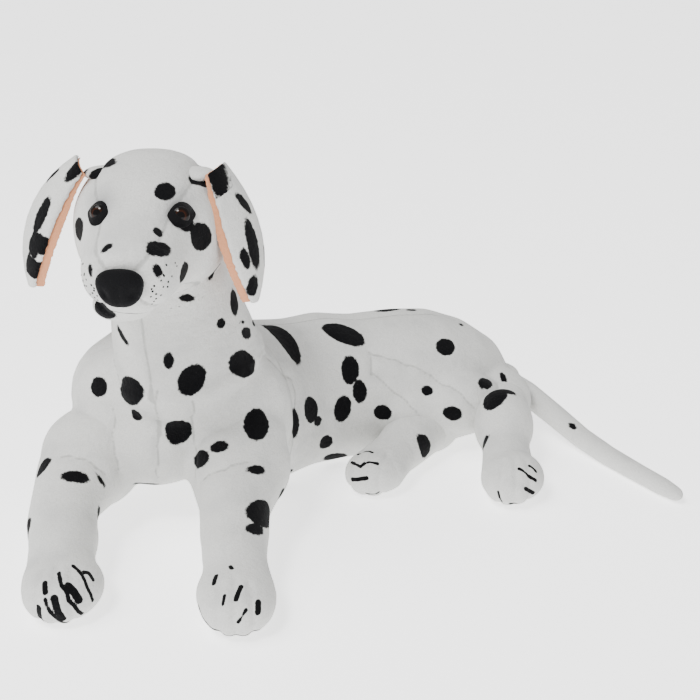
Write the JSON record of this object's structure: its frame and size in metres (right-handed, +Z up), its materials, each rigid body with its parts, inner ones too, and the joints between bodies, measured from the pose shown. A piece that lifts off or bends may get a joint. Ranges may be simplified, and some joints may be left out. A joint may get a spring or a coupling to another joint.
{
  "type": "plush dog",
  "caption": "Large lying plush Dalmatian dog with sewn plush cover, fibre filling, plastic eyes, soft hanging ears, stuffed legs and a long tail that bend at their seams.",
  "frame": {"origin": "middle of the flat belly panel, on the surface the toy lies on", "axes": "+Z up, chest and nose face -Y, +X is the dog's left side"},
  "size_m": [0.7838, 0.6558, 0.4598],
  "materials": {
    "spotted_plush": "white short-pile plush with airbrushed black spots",
    "ear_lining": "tan short-pile velour",
    "nose_pile": "black short-pile velour pad",
    "eye_plastic": "glossy moulded brown eye with black pupil and shank",
    "washer_plastic": "moulded lock washer",
    "fibre_fill": "loose white polyester fibre"
  },
  "bodies": {
    "torso": {"chest_cover_left": "spotted_plush", "chest_cover_right": "spotted_plush", "waist_cover_left": "spotted_plush", "waist_cover_right": "spotted_plush", "rump_cover_left": "spotted_plush", "rump_cover_right": "spotted_plush", "belly_panel": "spotted_plush", "chest_filling": "fibre_fill", "waist_filling": "fibre_fill", "rump_filling": "fibre_fill"},
    "neck": {"neck_cover_left": "spotted_plush", "neck_cover_right": "spotted_plush", "neck_filling": "fibre_fill"},
    "head": {"head_gusset": "spotted_plush", "head_side_left": "spotted_plush", "head_side_right": "spotted_plush", "chin_panel": "spotted_plush", "head_filling": "fibre_fill", "nose_pad": "nose_pile", "eye_left": "eye_plastic", "eye_right": "eye_plastic", "eye_washer_left": "washer_plastic", "eye_washer_right": "washer_plastic"},
    "ear_left": {"ear_cover_left": "spotted_plush", "ear_lining_left": "ear_lining"},
    "ear_right": {"ear_cover_right": "spotted_plush", "ear_lining_right": "ear_lining"},
    "front_leg_left": {"front_leg_outer_left": "spotted_plush", "front_leg_inner_left": "spotted_plush", "front_leg_filling_left": "fibre_fill"},
    "front_leg_right": {"front_leg_outer_right": "spotted_plush", "front_leg_inner_right": "spotted_plush", "front_leg_filling_right": "fibre_fill"},
    "hind_leg_left": {"hind_leg_outer_left": "spotted_plush", "hind_leg_inner_left": "spotted_plush", "hind_leg_filling_left": "fibre_fill"},
    "hind_leg_right": {"hind_leg_outer_right": "spotted_plush", "hind_leg_inner_right": "spotted_plush", "hind_leg_filling_right": "fibre_fill"},
    "tail": {"tail_cover": "spotted_plush", "tail_filling": "fibre_fill"}
  },
  "joints": [
    {"name": "neck_turn", "type": "hinge", "parent": "torso", "child": "neck", "pos_m": [-0.11288, -0.17812, 0.208], "axis": [-0.1203, -0.2807, 0.9522], "range_deg": [-25, 25], "stiffness_Nm_per_rad": 3},
    {"name": "head_nod", "type": "hinge", "parent": "neck", "child": "head", "pos_m": [-0.13486, -0.22989, 0.38109], "axis": [0.9988, -0.0499, 0], "range_deg": [-14, 8], "stiffness_Nm_per_rad": 3},
    {"name": "ear_left_lift", "type": "hinge", "parent": "head", "child": "ear_left", "pos_m": [-0.07009, -0.25508, 0.44973], "axis": [-0.0499, -0.9889, -0.1398], "range_deg": [0, 60], "stiffness_Nm_per_rad": 0.02},
    {"name": "ear_right_lift", "type": "hinge", "parent": "head", "child": "ear_right", "pos_m": [-0.19791, -0.24838, 0.44973], "axis": [0.0499, 0.9889, 0.1398], "range_deg": [0, 60], "stiffness_Nm_per_rad": 0.02},
    {"name": "front_leg_left_lift", "type": "hinge", "parent": "torso", "child": "front_leg_left", "pos_m": [-0.05207, -0.22886, 0.088], "axis": [-0.9976, -0.0698, 0], "range_deg": [0, 18], "stiffness_Nm_per_rad": 3},
    {"name": "front_leg_right_lift", "type": "hinge", "parent": "torso", "child": "front_leg_right", "pos_m": [-0.2285, -0.20497, 0.088], "axis": [-0.9998, -0.0174, 0], "range_deg": [0, 18], "stiffness_Nm_per_rad": 3},
    {"name": "hind_leg_left_lift", "type": "hinge", "parent": "torso", "child": "hind_leg_left", "pos_m": [0.2854, 0.04521, 0.06], "axis": [-0.9994, 0.0349, 0], "range_deg": [0, 18], "stiffness_Nm_per_rad": 3},
    {"name": "hind_leg_right_swing", "type": "hinge", "parent": "torso", "child": "hind_leg_right", "pos_m": [0.18437, 0.00763, 0.04], "axis": [0, 0, 1], "range_deg": [-2, 12], "stiffness_Nm_per_rad": 3},
    {"name": "tail_swing", "type": "hinge", "parent": "torso", "child": "tail", "pos_m": [0.30099, 0.11406, 0.062], "axis": [0, 0, 1], "range_deg": [0, 28], "stiffness_Nm_per_rad": 0.6}
  ]
}
